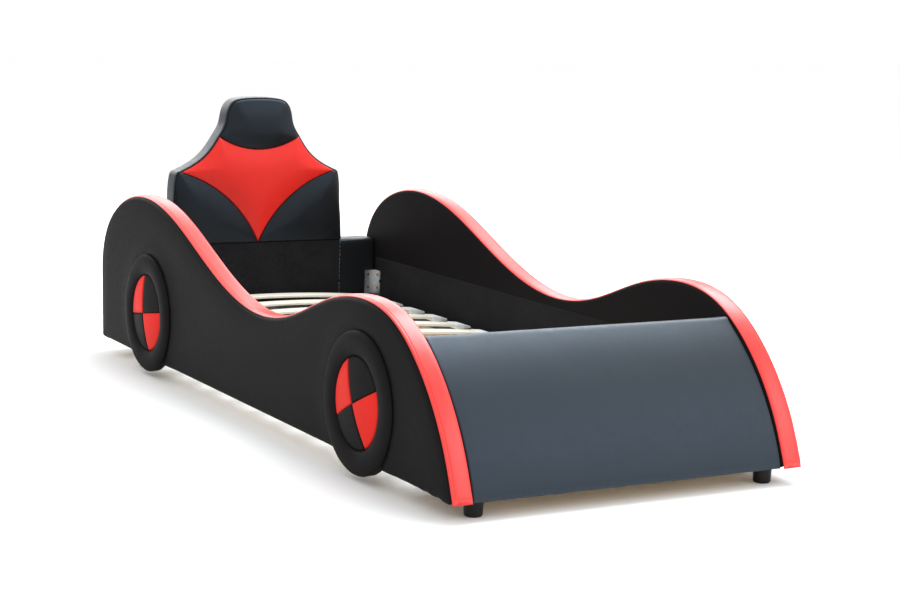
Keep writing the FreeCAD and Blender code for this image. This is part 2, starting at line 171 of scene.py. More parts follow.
def wander2(u, v, scale, seed):
    return np.array([noise.noise(Vector((a / scale, b / scale, seed))) for a, b in zip(u, v)])


def ripple(value, scale, seed, layer=0.0):
    """Smooth noise at one place on a line."""
    return noise.noise(Vector((value / scale, seed, layer)))


def bell(values, middle, reach, power=2):
    """One in the middle, and next to nothing past the reach."""
    return np.exp(-((values - middle) / reach) ** power)


# ------------------ mesh helpers
def in_scene(name, data):
    item = bpy.data.objects.new(name, data)
    bpy.context.scene.collection.objects.link(item)
    return item


def shade(mesh, smooth=True):
    mesh.polygons.foreach_set("use_smooth", [smooth] * len(mesh.polygons))


def frozen_mesh(piece):
    """The piece's mesh with its modifiers applied."""
    bpy.context.view_layer.update()
    graph = bpy.context.evaluated_depsgraph_get()
    return bpy.data.meshes.new_from_object(piece.evaluated_get(graph))


def mark_seams(mesh, distances):
    """Stores how far each point is from a seam, for the painted seam shade in the material."""
    layer = mesh.attributes.new("seam_distance", "FLOAT", "POINT")
    layer.data.foreach_set("value", np.asarray(distances, np.float32))


def ring_faces(rings, size, closed=False):
    """Faces between rings of points, with an end at each side unless the last meets the first."""
    faces = []
    for i in range(rings if closed else rings - 1):
        m = (i + 1) % rings
        for j in range(size):
            k = (j + 1) % size
            faces.append((i * size + j, i * size + k, m * size + k, m * size + j))
    last = (rings - 1) * size
    ends = [tuple(range(size)), tuple(range(last, last + size))]
    return faces if closed else faces + ends


def make_piece(name, vertices, faces, seam=None, smooth=True):
    mesh = bpy.data.meshes.new(name)
    mesh.from_pydata([tuple(v) for v in vertices], [], faces)
    if seam is not None:
        mark_seams(mesh, seam)
    work = bmesh.new()
    work.from_mesh(mesh)
    bmesh.ops.recalc_face_normals(work, faces=work.faces)
    work.to_mesh(mesh)
    work.free()
    shade(mesh, smooth)
    return in_scene(name, mesh)


def settle(piece, material, slot, *nodes):
    """Gives a finished piece its material, its body and the nodes it stands for. The slot is not used.
    """
    piece.data.materials.clear()
    piece.data.materials.append(material)
    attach(piece, BODY)
    if nodes:
        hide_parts(*nodes)
    return piece


BATCH = 1500                    # points measured at once
ROW_PITCH = 0.866               # of the grid's rows, for even triangles
FAR_FROM_SEAM = 0.05
PAD_RINGS = (0.0008, 0.002, 0.004, 0.007, 0.011, 0.016)


def edge_distance(points, loop):
    """Distance from each point to a closed outline, and how far along it the nearest place is."""
    step = np.roll(loop, -1, 0) - loop
    square = (step ** 2).sum(1)
    lengths = np.concatenate([[0], np.cumsum(np.sqrt(square))])[:-1]
    near = np.empty(len(points))
    along = np.empty(len(points))
    for first in range(0, len(points), BATCH):
        part = points[first:first + BATCH]
        rel = part[:, None] - loop[None]
        t = np.clip((rel * step).sum(2) / square, 0, 1)
        gap = np.linalg.norm(rel - t[..., None] * step, axis=2)
        k = gap.argmin(1)
        rows = np.arange(len(part))
        near[first:first + BATCH] = gap[rows, k]
        along[first:first + BATCH] = lengths[k] + t[rows, k] * np.sqrt(square[k])
    return near, along


def is_inside(points, loop):
    x, y = points.T
    result = np.zeros(len(points), bool)
    for (x0, y0), (x1, y1) in zip(loop, np.roll(loop, -1, 0)):
        if y0 == y1:
            continue
        crosses = (y0 > y) != (y1 > y)
        result ^= crosses & (x < x0 + (y - y0) / (y1 - y0) * (x1 - x0))
    return result


def fine_points(loop, spacing, rings):
    """The outline, rings just inside it, and an even grid over the rest."""
    inward = -outward_normals(np.vstack([loop[-1:], loop, loop[:1]]))[1:-1]
    groups = [loop]
    for depth in rings:
        ring = loop + inward * depth
        near, _ = edge_distance(ring, loop)
        groups.append(ring[is_inside(ring, loop) & (near > 0.93 * depth)])
    low, high = loop.min(0), loop.max(0)
    rows = np.arange(low[1], high[1], spacing * ROW_PITCH)
    grid = np.array([(x, z) for i, z in enumerate(rows)
                     for x in np.arange(low[0] + (i % 2) * spacing / 2, high[0], spacing)])
    grid = grid[is_inside(grid, loop)]
    near, _ = edge_distance(grid, loop)
    groups.append(grid[near > rings[-1] + 0.5 * spacing])
    return np.vstack(groups)


def triangles(points, border):
    """Triangles over the points, inside the closed border made by the first of them."""
    edges = [(i, (i + 1) % border) for i in range(border)]
    result = delaunay_2d_cdt([Vector(p) for p in points], edges, [], 1, 1e-7)
    flat = np.array([tuple(v) for v in result[0]])
    rim = {}
    for new, olds in enumerate(result[3]):
        for old in olds:
            if old < border:
                rim[old] = new
    return flat, [tuple(f) for f in result[2]], [rim[i] for i in range(border)]


def pad(name, loop, place, rise, depth, spacing=0.008, rings=PAD_RINGS, base=None):
    """A closed pad: a shaped front over the outline, a straight wall and a flat back.

    place(u, v, w) gives points in the bed, rise(d, along, u, v) the height above the seam and
    base(u, v) the height of the seam itself."""
    points = fine_points(loop, spacing, rings)
    flat, faces, rim = triangles(points, len(loop))
    near, along = edge_distance(flat, loop)
    near[rim] = 0.0
    u, v = flat.T
    ground = base(u, v) if base else np.zeros(len(u))
    front = place(u, v, ground + rise(near, along, u, v))
    back_flat, back_faces, back_rim = triangles(loop, len(loop))
    back = place(back_flat[:, 0], back_flat[:, 1], np.full(len(back_flat), -depth))
    offset = len(front)
    all_faces = faces + [tuple(offset + i for i in f[::-1]) for f in back_faces]
    for i in range(len(loop)):
        j = (i + 1) % len(loop)
        all_faces.append((rim[i], offset + back_rim[i], offset + back_rim[j], rim[j]))
    seam = np.concatenate([near, np.full(len(back), FAR_FROM_SEAM)])
    return make_piece(name, np.vstack([front, back]), all_faces, seam)


def crown(d, height, width, power=2.2):
    """Height of a padded face at a distance from its seam."""
    t = np.clip(d / width, 0, 1)
    return height * (1 - (1 - t) ** power)


def puckers(d, along, size, pitch, reach, seed):
    """Small gathers that start at a seam and fade away from it."""
    return size * np.exp(-d / reach) * wander(along, pitch, seed)


STRIP_SUNK = 0.002              # of a strip's inside face, below the edge it is pulled over
HEM_REACH = 0.010


def strip(name, path, place, half_width, height, power, samples, shape, tail=0.0, hem=None):
    """A padded strip swept along a path: crowned on the outside, flat inside.

    place(p, q, s) takes path coordinates and the place across.  shape(s, length) adds height
    and hem(s) says how far each place across hangs past the end of the path."""
    normals = outward_normals(path)
    lengths = path_lengths(path)
    onward = np.column_stack([-normals[:, 1], normals[:, 0]])
    onward *= np.sign((onward[-1] * (path[-1] - path[-2])).sum())
    s = np.sin(np.linspace(-math.pi / 2, math.pi / 2, samples))
    section = (1 - np.abs(s) ** power).clip(0) ** (1 / power) * height
    inside = np.array([0.9, 0.3, -0.3, -0.9])
    across = np.concatenate([s, inside])
    vertices = []
    seams = []
    for i, (point, normal) in enumerate(zip(path, normals)):
        end = min(lengths[i], lengths[-1] - lengths[i])
        close = math.sqrt(max(0.0, 1 - (1 - min(end / tail, 1)) ** 2)) if tail else 1.0
        rise = section * (0.35 + 0.65 * close) + shape(s, lengths[i]) * close
        out = np.concatenate([rise, np.full(len(inside), -STRIP_SUNK)])
        flat = point + normal * out[:, None]
        if hem is not None:
            hang = hem(across) * math.exp(-(lengths[-1] - lengths[i]) / HEM_REACH)
            flat = flat + onward[i] * hang[:, None]
        vertices.append(place(flat[:, 0], flat[:, 1], across * half_width))
        seams.append(np.concatenate([(1 - np.abs(s)) * half_width + rise,
                                     np.full(len(inside), FAR_FROM_SEAM)]))
    faces = ring_faces(len(path), len(across))
    return make_piece(name, np.vstack(vertices), faces, np.concatenate(seams))


# ------------------ node materials
def socket_in(node, name):
    return next(s for s in node.inputs if s.name == name and s.enabled)


class Recipe:
    """A short way to write a node material."""

    def __init__(self, name, color, roughness, specular=0.5, metallic=0.0, sheen=0.0):
        self.material = bpy.data.materials.new(name)
        self.material.use_nodes = True
        self.tree = self.material.node_tree
        self.shader = self.tree.nodes["Principled BSDF"]
        self.color = (*color, 1.0)
        sockets = {"Base Color": self.color, "Roughness": roughness, "Specular IOR Level": specular,
                   "Metallic": metallic, "Sheen Weight": sheen}
        for label, value in sockets.items():
            self.shader.inputs[label].default_value = value
        self.where = self.add("ShaderNodeTexCoord").outputs["Object"]
        self.bump = None

    def add(self, kind, **inputs):
        node = self.tree.nodes.new(kind)
        for name, value in inputs.items():
            socket = socket_in(node, name.replace("_", " "))
            if isinstance(value, bpy.types.NodeSocket):
                self.tree.links.new(value, socket)
            else:
                socket.default_value = value
        return node

    def stretched(self, x, y, z):
        return self.add("ShaderNodeMapping", Vector=self.where, Scale=(x, y, z)).outputs["Vector"]

    def noise(self, scale, detail=3.0, where=None, rough=0.5):
        node = self.add("ShaderNodeTexNoise", Vector=where or self.where, Scale=scale,
                        Detail=detail, Roughness=rough)
        return node.outputs["Fac"]

    def cells(self, scale, feature="DISTANCE_TO_EDGE"):
        node = self.tree.nodes.new("ShaderNodeTexVoronoi")
        node.feature = feature
        self.tree.links.new(self.where, node.inputs["Vector"])
        node.inputs["Scale"].default_value = scale
        return node.outputs["Distance"]

    def mapped(self, value, low, high, start=0.3, end=0.7):
        node = self.add("ShaderNodeMapRange", Value=value, From_Min=start, From_Max=end,
                        To_Min=low, To_Max=high)
        return node.outputs["Result"]

    def tint(self, factor, toward):
        """Mixes the base colour towards another where the factor is high."""
        mix = self.tree.nodes.new("ShaderNodeMix")
        mix.data_type = "RGBA"
        source = self.shader.inputs["Base Color"]
        a, b = mix.inputs[6], mix.inputs[7]
        if source.is_linked:
            self.tree.links.new(source.links[0].from_socket, a)
        else:
            a.default_value = self.color
        b.default_value = (*toward, 1.0)
        self.tree.links.new(factor, mix.inputs[0])
        self.tree.links.new(mix.outputs[2], source)

    def rough(self, factor, low, high, start=0.3, end=0.7):
        value = self.mapped(factor, low, high, start, end)
        self.tree.links.new(value, self.shader.inputs["Roughness"])

    def relief(self, height, distance, strength=1.0):
        node = self.add("ShaderNodeBump", Height=height, Distance=distance, Strength=strength)
        if self.bump is not None:
            self.tree.links.new(self.bump.outputs["Normal"], node.inputs["Normal"])
        self.tree.links.new(node.outputs["Normal"], self.shader.inputs["Normal"])
        self.bump = node

    def attribute(self, name):
        node = self.tree.nodes.new("ShaderNodeAttribute")
        node.attribute_name = name
        return node.outputs["Fac"]


def scaled(color, factor):
    return tuple(c * factor for c in color)


def leathercloth(name, color, light, roughness, seam_shade, specular, tint):
    """Coated upholstery cloth: fine pebbled grain, soft creases, and painted shade darkening it near
    its seams.
    """
    r = Recipe(name, color, roughness, specular)
    r.shader.inputs["Specular Tint"].default_value = (*tint, 1.0)
    r.tint(r.mapped(r.noise(3.5, 4.0), 0.0, 0.55), light)
    r.tint(r.mapped(r.noise(26.0, 4.0), 0.0, 0.12), scaled(color, 0.78))
    # Painted shade: within a few millimetres of a seam the colour darkens towards the seam shade
    # colour.
    r.tint(r.mapped(r.attribute("seam_distance"), 0.85, 0.0, 0.0, 0.0035), seam_shade)
    r.rough(r.noise(60.0, 4.0), roughness - 0.03, roughness + 0.04)
    r.relief(r.noise(9.0, 2.0), 0.0014, 0.16)
    r.relief(r.noise(95.0, 3.0), 0.0002, 0.10)
    r.relief(r.cells(900.0), 0.00014, 0.40)
    return r.material


def felt(name, color, fibre):
    """Needle-punched lining: matted fibres, lint and a soft sheen."""
    r = Recipe(name, color, 0.95, specular=0.1, sheen=0.03)
    strands = r.noise(1.0, 5.0, r.stretched(420, 900, 420), 0.7)
    crossed = r.noise(1.0, 5.0, r.stretched(950, 380, 800), 0.7)
    r.tint(r.mapped(strands, 0.0, 0.75, 0.48, 0.72), fibre)
    r.tint(r.mapped(crossed, 0.0, 0.5, 0.5, 0.75), fibre)
    r.tint(r.mapped(r.noise(9.0, 6.0, rough=0.65), 0.0, 0.12, 0.42, 0.7), scaled(fibre, 1.1))
    r.relief(r.noise(30.0, 5.0), 0.002, 0.4)
    r.relief(strands, 0.0009, 0.7)
    r.relief(crossed, 0.0009, 0.6)
    return r.material


def timber(name, color, dark, grain_along, roughness=0.6):
    """Planed wood with its grain along one axis."""
    stretch = {"x": (6, 190, 190), "y": (190, 6, 190), "z": (190, 190, 6)}[grain_along]
    r = Recipe(name, color, roughness, specular=0.35)
    grain = r.noise(1.0, 6.0, r.stretched(*stretch), 0.6)
    r.tint(r.mapped(grain, 0.0, 0.8, 0.42, 0.72), dark)
    broad = r.noise(1.0, 2.0, r.stretched(*(s * 0.12 for s in stretch)))
    r.tint(r.mapped(broad, 0.0, 0.35), scaled(color, 0.8))
    r.rough(grain, roughness - 0.08, roughness + 0.1)
    r.relief(grain, 0.0004, 0.5)
    return r.material


def bent_birch(name):
    """Pale laminated birch: faint grain and flecks along the slat."""
    color = (0.82, 0.77, 0.66)
    r = Recipe(name, color, 0.42, specular=0.45)
    grain = r.noise(1.0, 6.0, r.stretched(5, 260, 90), 0.6)
    r.tint(r.mapped(grain, 0.0, 0.4, 0.45, 0.75), (0.66, 0.53, 0.36))
    flecks = r.noise(1.0, 3.0, r.stretched(40, 900, 400), 0.5)
    r.tint(r.mapped(flecks, 0.0, 0.35, 0.6, 0.8), (0.5, 0.34, 0.2))
    r.relief(grain, 0.0002, 0.4)
    return r.material


def moulded(name, color, roughness, grain=420.0, specular=0.5):
    """Moulded plastic with a fine spark-eroded texture and slight flow marks."""
    r = Recipe(name, color, roughness, specular)
    r.tint(r.mapped(r.noise(18.0, 4.0), 0.0, 0.4), scaled(color, 0.88))
    r.rough(r.noise(70.0, 4.0), roughness - 0.06, roughness + 0.1)
    r.relief(r.noise(grain, 3.0), 0.00025, 0.5)
    r.relief(r.noise(22.0, 2.0), 0.0006, 0.2)
    return r.material


def coated_steel(name):
    """Black powder coat with a fine orange peel."""
    r = Recipe(name, (0.017, 0.017, 0.018), 0.45, specular=0.5)
    r.tint(r.mapped(r.noise(8.0, 5.0), 0.0, 0.5), (0.035, 0.034, 0.033))
    r.rough(r.noise(40.0, 5.0), 0.38, 0.6)
    r.relief(r.noise(520.0, 2.0), 0.0002, 0.6)
    return r.material


def plated(name, color, roughness):
    """Zinc plate: bright with cloudy spangles and fine rolling marks."""
    r = Recipe(name, color, roughness, metallic=1.0)
    r.tint(r.mapped(r.noise(150.0, 6.0, rough=0.7), 0.0, 0.55), scaled(color, 0.55))
    r.tint(r.mapped(r.cells(90.0, "F1"), 0.0, 0.3, 0.2, 0.8), scaled(color, 1.25))
    r.rough(r.noise(220.0, 5.0), roughness - 0.1, roughness + 0.15)
    r.relief(r.noise(1.0, 4.0, r.stretched(900, 900, 60)), 0.0001, 0.4)
    return r.material


def thread(name, color):
    """Twisted sewing thread."""
    r = Recipe(name, color, 0.55, specular=0.3, sheen=0.2)
    r.tint(r.mapped(r.noise(900.0, 2.0), 0.0, 0.6), scaled(color, 0.6))
    r.relief(r.noise(1400.0, 2.0), 0.0002, 0.6)
    return r.material


BLACK = (0.0085, 0.0083, 0.0085)
WORN_BLACK = (0.0110, 0.0107, 0.0108)
MATT_BLACK = (0.0120, 0.0110, 0.0113)
WORN_MATT = (0.0145, 0.0136, 0.0136)
# The bonnet's blacks are tinted blue-grey: painted reflection of a blue sky in their colour.
SKY_TINTED_BLACK = (0.0100, 0.0110, 0.0128)
WORN_SKY_TINTED_BLACK = (0.0118, 0.0130, 0.0150)
# Colour of the painted shade in the seams of the black leathercloths.
SEAM_SHADE_BLACK = (0.0012, 0.0012, 0.0014)
RED = (0.80, 0.019, 0.012)
WORN_RED = (0.84, 0.026, 0.018)
HUB_RED = (0.62, 0.021, 0.014)
SEAT_RED = (0.70, 0.019, 0.012)
# Colour of the painted shade in the seams of the red leathercloths.
SEAM_SHADE_RED = (0.26, 0.005, 0.003)
FELT = (0.0045, 0.0045, 0.0050)
NEUTRAL = (1.0, 1.0, 1.0)
COOL = (0.58, 0.77, 1.0)
BLACK_LEATHER = leathercloth("black_leathercloth", BLACK, WORN_BLACK, 0.38, SEAM_SHADE_BLACK, 0.30, COOL)
MATT_LEATHER = leathercloth("matt_black_leathercloth", MATT_BLACK, WORN_MATT, 0.46, SEAM_SHADE_BLACK, 0.016,
                            NEUTRAL)
# A glossier copy of the black leathercloth for the bonnet, with its colour tinted blue-grey as painted
# sky reflection.
SATIN_SKY_TINTED_LEATHER = leathercloth("satin_sky_tinted_black_leathercloth", SKY_TINTED_BLACK, WORN_SKY_TINTED_BLACK, 0.44, SEAM_SHADE_BLACK, 0.62,
                             COOL)
RED_LEATHER = leathercloth("red_leathercloth", SEAT_RED, WORN_RED, 0.42, SEAM_SHADE_RED, 0.26, NEUTRAL)
RED_HUB = leathercloth("matt_red_leathercloth", HUB_RED, WORN_RED, 0.46, SEAM_SHADE_RED, 0.04, NEUTRAL)
RED_STRIP = leathercloth("glossy_red_leathercloth", RED, WORN_RED, 0.32, SEAM_SHADE_RED, 0.75, NEUTRAL)
BLACK_FELT = felt("black_felt", FELT, (0.040, 0.040, 0.045))
PLYWOOD = timber("plywood", (0.56, 0.42, 0.26), (0.36, 0.24, 0.13), "y")
PINE = timber("pine", (0.66, 0.50, 0.30), (0.44, 0.28, 0.13), "y")
BIRCH = bent_birch("laminated_birch")
WHITE_PLASTIC = moulded("white_plastic", (0.90, 0.91, 0.90), 0.40)
BLACK_PLASTIC = moulded("black_plastic", (0.008, 0.008, 0.008), 0.5, specular=0.2)
BLACK_STEEL = coated_steel("black_powder_coat")
ZINC = plated("bright_zinc", (0.72, 0.74, 0.76), 0.34)
YELLOW_ZINC = plated("yellow_zinc", (0.42, 0.26, 0.08), 0.30)
RED_THREAD = thread("red_thread", (0.52, 0.020, 0.014))


# ------------------ rows made by geometry nodes
def new_tree(name, inputs):
    tree = bpy.data.node_groups.new(name, "GeometryNodeTree")
    tree.interface.new_socket("Geometry", in_out="INPUT", socket_type="NodeSocketGeometry")
    for label, kind, value in inputs:
        socket = tree.interface.new_socket(label, in_out="INPUT", socket_type=kind)
        if value is not None:
            socket.default_value = value
    tree.interface.new_socket("Geometry", in_out="OUTPUT", socket_type="NodeSocketGeometry")
    return tree, tree.nodes.new("NodeGroupInput"), tree.nodes.new("NodeGroupOutput")


def join_up(tree, *pairs):
    for output, socket in pairs:
        tree.links.new(output, socket)


def finish_tree(tree, source, result, geometry):
    """Ends a tree: instances made real, then the material set."""
    real = tree.nodes.new("GeometryNodeRealizeInstances")
    paint = tree.nodes.new("GeometryNodeSetMaterial")
    join_up(tree, (geometry, real.inputs[0]), (real.outputs[0], paint.inputs["Geometry"]),
            (source.outputs["Material"], paint.inputs["Material"]),
            (paint.outputs[0], result.inputs[0]))


def row_tree():
    """Copies of one piece, Count of them, each Step further on."""
    tree, source, result = new_tree("row_of_copies", [
        ("Count", "NodeSocketInt", 2), ("Step", "NodeSocketVector", None),
        ("Material", "NodeSocketMaterial", None)])
    row = tree.nodes.new("GeometryNodeMeshLine")
    copies = tree.nodes.new("GeometryNodeInstanceOnPoints")
    join_up(tree, (source.outputs["Count"], row.inputs["Count"]),
            (source.outputs["Step"], row.inputs["Offset"]),
            (row.outputs[0], copies.inputs["Points"]),
            (source.outputs["Geometry"], copies.inputs["Instance"]))
    finish_tree(tree, source, result, copies.outputs[0])
    return tree


def stitch_tree():
    """Stitches of thread along a path: short beads, one for each Pitch."""
    tree, source, result = new_tree("row_of_stitches", [
        ("Pitch", "NodeSocketFloat", 0.005), ("Length", "NodeSocketFloat", 0.0036),
        ("Thickness", "NodeSocketFloat", 0.0009), ("Material", "NodeSocketMaterial", None)])
    path = tree.nodes.new("GeometryNodeMeshToCurve")
    even = tree.nodes.new("GeometryNodeResampleCurve")
    even.mode = "LENGTH"
    along = tree.nodes.new("GeometryNodeInputTangent")
    turn = tree.nodes.new("FunctionNodeAlignRotationToVector")
    turn.axis = "X"
    bead = tree.nodes.new("GeometryNodeMeshUVSphere")
    for label, value in (("Segments", 6), ("Rings", 4), ("Radius", 0.5)):
        bead.inputs[label].default_value = value
    size = tree.nodes.new("ShaderNodeCombineXYZ")
    copies = tree.nodes.new("GeometryNodeInstanceOnPoints")
    join_up(tree, (source.outputs["Geometry"], path.inputs[0]),
            (path.outputs[0], even.inputs["Curve"]),
            (source.outputs["Pitch"], even.inputs["Length"]),
            (even.outputs[0], copies.inputs["Points"]),
            (along.outputs[0], turn.inputs["Vector"]),
            (turn.outputs[0], copies.inputs["Rotation"]),
            (source.outputs["Length"], size.inputs["X"]),
            (source.outputs["Thickness"], size.inputs["Y"]),
            (source.outputs["Thickness"], size.inputs["Z"]),
            (size.outputs[0], copies.inputs["Scale"]),
            (bead.outputs["Mesh"], copies.inputs["Instance"]))
    finish_tree(tree, source, result, copies.outputs[0])
    return tree


ROW = row_tree()
STITCHES = stitch_tree()


def grown(piece, tree, **values):
    """Runs a tree on a piece and keeps the result as a plain mesh."""
    modifier = piece.modifiers.new(tree.name, "NODES")
    modifier.node_group = tree
    for item in tree.interface.items_tree:
        if item.in_out == "INPUT" and item.name in values:
            modifier[item.identifier] = values[item.name]
    mesh = frozen_mesh(piece)
    piece.modifiers.remove(modifier)
    old = piece.data
    piece.data = mesh
    bpy.data.meshes.remove(old)
    return piece


def stitch_row(name, points, material, pitch=0.0055, length=0.0042, thickness=0.0010):
    mesh = bpy.data.meshes.new(name)
    mesh.from_pydata([tuple(p) for p in points], [(i, i + 1) for i in range(len(points) - 1)], [])
    return grown(in_scene(name, mesh), STITCHES, Pitch=pitch, Length=length, Thickness=thickness,
                 Material=material)


def merged(name, pieces):
    """Joins plain meshes into one flat-shaded piece."""
    work = bmesh.new()
    for piece in pieces:
        work.from_mesh(piece.data)
    mesh = bpy.data.meshes.new(name)
    work.to_mesh(mesh)
    work.free()
    shade(mesh, False)
    for piece in pieces:
        bpy.data.objects.remove(piece)
    return in_scene(name, mesh)


# ------------------ side panels
def seam_path(step=0.008):
    """The whole edge of a side panel: up the rear, over the arches and down the nose."""
    rear = straight(REAR_FOOT, SEAM[0], step)
    return joined(rear, smooth_curve(SEAM, step))


NOSE_FOLDS = -1.10              # where the lower edge of a side panel sags, along Y
HEEL_FOLDS = 1.15
NOSE_FLAP = -1.170
SEAM_TUCK = 0.0004              # of each face's seam, under the strip


def side_outline(step):
    """Outline of a side face, whose lower edge sags in small folds behind the nose."""
    path = seam_path(step)
    bottom = straight(path[-1], path[0], 0.5 * step)
    y = bottom[:, 0]
    near_nose = bell(y, NOSE_FOLDS, 0.06)
    near_heel = bell(y, HEEL_FOLDS, 0.04)
    ends = np.minimum(1, np.minimum(np.abs(y - y[0]), np.abs(y - y[-1])) / 0.010)
    bottom[:, 1] -= (0.0035 * wander(y, 0.022, 4.0) + 0.0015) * (near_nose + 0.5 * near_heel) * ends
    flap = bell(y, NOSE_FLAP, 0.024, 4)
    bottom[:, 1] -= (0.0045 + 0.0025 * wander(y, 0.009, 6.0)) * flap * ends
    return closed_outline(path, bottom)


def wheel_press(u, v):
    """How far the padding is pulled down near the wheels."""
    press = np.zeros(len(u))
    for y, z in WHEEL_PLACES.values():
        gap = np.clip(np.hypot(u - y, v - z) - WHEEL_RADIUS, 0, None)
        press += 0.0022 * np.exp(-gap / 0.003) - 0.0036 * bell(gap, 0, 0.045)
    return press


def side_face(name, sign, inwards, seed, node):
    """One leathercloth face of a side panel; inwards is True on the mattress side."""
    loop = side_outline(0.010)
    seam = SEAM_IN + SEAM_TUCK if inwards else SEAM_OUT - SEAM_TUCK
    out = sign * (-1 if inwards else 1)

    def place(u, v, w):
        return np.column_stack([sign * seam + out * w, u, v])

    def rise(d, along, u, v):
        folds = 0.0016 * bell(u, NOSE_FOLDS, 0.05) * bell(v, PANEL_FOOT, 0.03)
        soft = (puckers(d, along, 0.0006, 0.016, 0.014, seed)
                + 0.0004 * wander2(u, v, 0.13, seed) * np.clip(d / 0.03, 0, 1)
                + folds * wander2(u, v * 0.25, 0.012, seed + 3))
        if inwards:
            return soft * 0.6 + crown(d, 0.0036, 0.009)
        return soft + crown(d, 0.0085, 0.012, 2.4) + crown(d, 0.0060, 0.08, 2.0) - wheel_press(u, v)

    rings = (0.0008, 0.002, 0.004, 0.007, 0.011, 0.018)
    piece = pad(name, loop, place, rise, 0.0012, spacing=0.014, rings=rings)
    settle(piece, MATT_LEATHER, "black_leathercloth", node)
    return piece


STITCH_LINE = 0.0195            # of the top stitching, from the middle of the red strip
STITCH_GAP = 0.012              # left free at each end of the strip
STRIP_HALF = 0.0279
STRIP_POWER = 2.5


def trim_shape(sign, seed):
    def shape(s, length):
        x = s * STRIP_HALF
        groove = -0.0010 * bell(x, sign * STITCH_LINE, 0.0013)
        gathers = 0.0004 * np.exp(-(1 - np.abs(s)) / 0.25) * (1 - np.abs(s) ** 8)
        swell = 0.0008 * ripple(length, 0.12, seed, 5.0)
        return groove + gathers * ripple(length, 0.018, seed) + swell * (1 - s ** 2)
    return shape


def strip_hem(across):
    """The strip's lower end, gathered so that its corners hang lower than its middle."""
    ripples = 0.0014 * np.sin(across * 9.0 + 1.0) + 0.0010 * np.sin(across * 4.0)
    return 0.0015 + 0.0062 * np.abs(across) ** 3 + ripples


def side_trim(side, sign):
    path = seam_path(0.007)
    lengths = path_lengths(path)

    def place(p, q, s):
        return np.column_stack([np.full(len(p), sign * SEAM_MID) + s, p, q])

    name = "red_edge_strip_" + side
    strip_piece = strip(name, path, place, STRIP_HALF, TRIM_PROUD, STRIP_POWER, 56,
                        trim_shape(sign, 2.0 + sign), tail=0.010, hem=strip_hem)
    settle(strip_piece, RED_STRIP, "red_leathercloth", "side_trim_" + side)

    keep = (lengths > STITCH_GAP) & (lengths < lengths[-1] - STITCH_GAP)
    s = STITCH_LINE / STRIP_HALF
    lift = (1 - s ** STRIP_POWER) ** (1 / STRIP_POWER) * TRIM_PROUD - 0.0008
    line = path[keep] + outward_normals(path)[keep] * lift
    points = np.column_stack([np.full(len(line), sign * (SEAM_MID + STITCH_LINE)), line])
    stitches = stitch_row("red_top_stitching_" + side, points, RED_THREAD)
    settle(stitches, RED_THREAD, "red_leathercloth")


def felt_sheet(name, corners, place, node, spacing=0.02, seed=1.0):
    """A flat lining of fuzzy cloth, thin, with soft edges."""
    (u0, v0), (u1, v1) = corners
    turns = [(u0, v0), (u1, v0), (u1, v1), (u0, v1), (u0, v0)]
    loop = closed_outline(*(straight(a, b, 0.012) for a, b in zip(turns, turns[1:])))

    def rise(d, along, u, v):
        return (crown(d, 0.0009, 0.003) + 0.0005 * wander2(u, v, 0.05, seed)
                + 0.0002 * wander2(u, v, 0.011, seed + 7))

    piece = pad(name, loop, place, rise, 0.0012, spacing=spacing, rings=(0.0015, 0.004, 0.009))
    settle(piece, BLACK_FELT, "black_felt", node)
    return piece


def build_sides():
    for side, sign in SIDES.items():
        side_face("outer_leathercloth_" + side, sign, False, 1.3 + sign, "side_cover_outer_" + side)
        side_face("inner_leathercloth_" + side, sign, True, 5.1 + sign, "side_cover_inner_" + side)
        side_trim(side, sign)
        y0, y1 = BONNET_FACE + 0.004, HEAD_LOW.y - 0.003

        def place(u, v, w, sign=sign):
            return np.column_stack([sign * (LINING_FACE + 0.0006 - w), u, v])

        felt_sheet("side_felt_" + side, ((y0, PANEL_FOOT + 0.004), (y1, LINING_TOP)), place,
                   "side_lining_" + side, seed=3.0 + sign)


# ------------------ wheels
TYRE_RIM = 0.1210               # radius of the ring's inner edge
TYRE_EDGE = 0.0185              # height of its seams, and of the crown between them
TYRE_CROWN = 0.0150
HUB_EDGE = 0.0020
HUB_DOME = 0.0135


def tyre_section():
    """Half-section of the ring: height off the seam's plane, radius, and distance to a seam."""
    middle, half = (WHEEL_RADIUS + TYRE_RIM) / 2, (WHEEL_RADIUS - TYRE_RIM) / 2
    t = np.linspace(0, math.pi, 34)
    power = 2.3
    across = np.sign(np.cos(t)) * np.abs(np.cos(t)) ** (2 / power)
    lift = np.sin(t).clip(0) ** (2 / power)
    height = TYRE_EDGE + TYRE_CROWN * lift
    wall = [(0.0005, WHEEL_RADIUS - 0.0010, 0.02), (0.008, WHEEL_RADIUS - 0.0004, 0.02),
            (0.0145, WHEEL_RADIUS - 0.0002, 0.01), (0.0175, WHEEL_RADIUS - 0.0010, 0.002)]
    crest = np.column_stack([height, middle + across * half, 0.0005 + 0.02 * lift])
    inner = [(0.0175, TYRE_RIM + 0.0010, 0.0006), (0.0145, TYRE_RIM + 0.0010, 0.0006),
             (0.0100, middle, 0.02)]
    inside = [np.zeros(len(wall)), 1 - np.abs(across), np.zeros(len(inner))]
    return np.vstack([wall, crest, inner]), np.concatenate(inside)


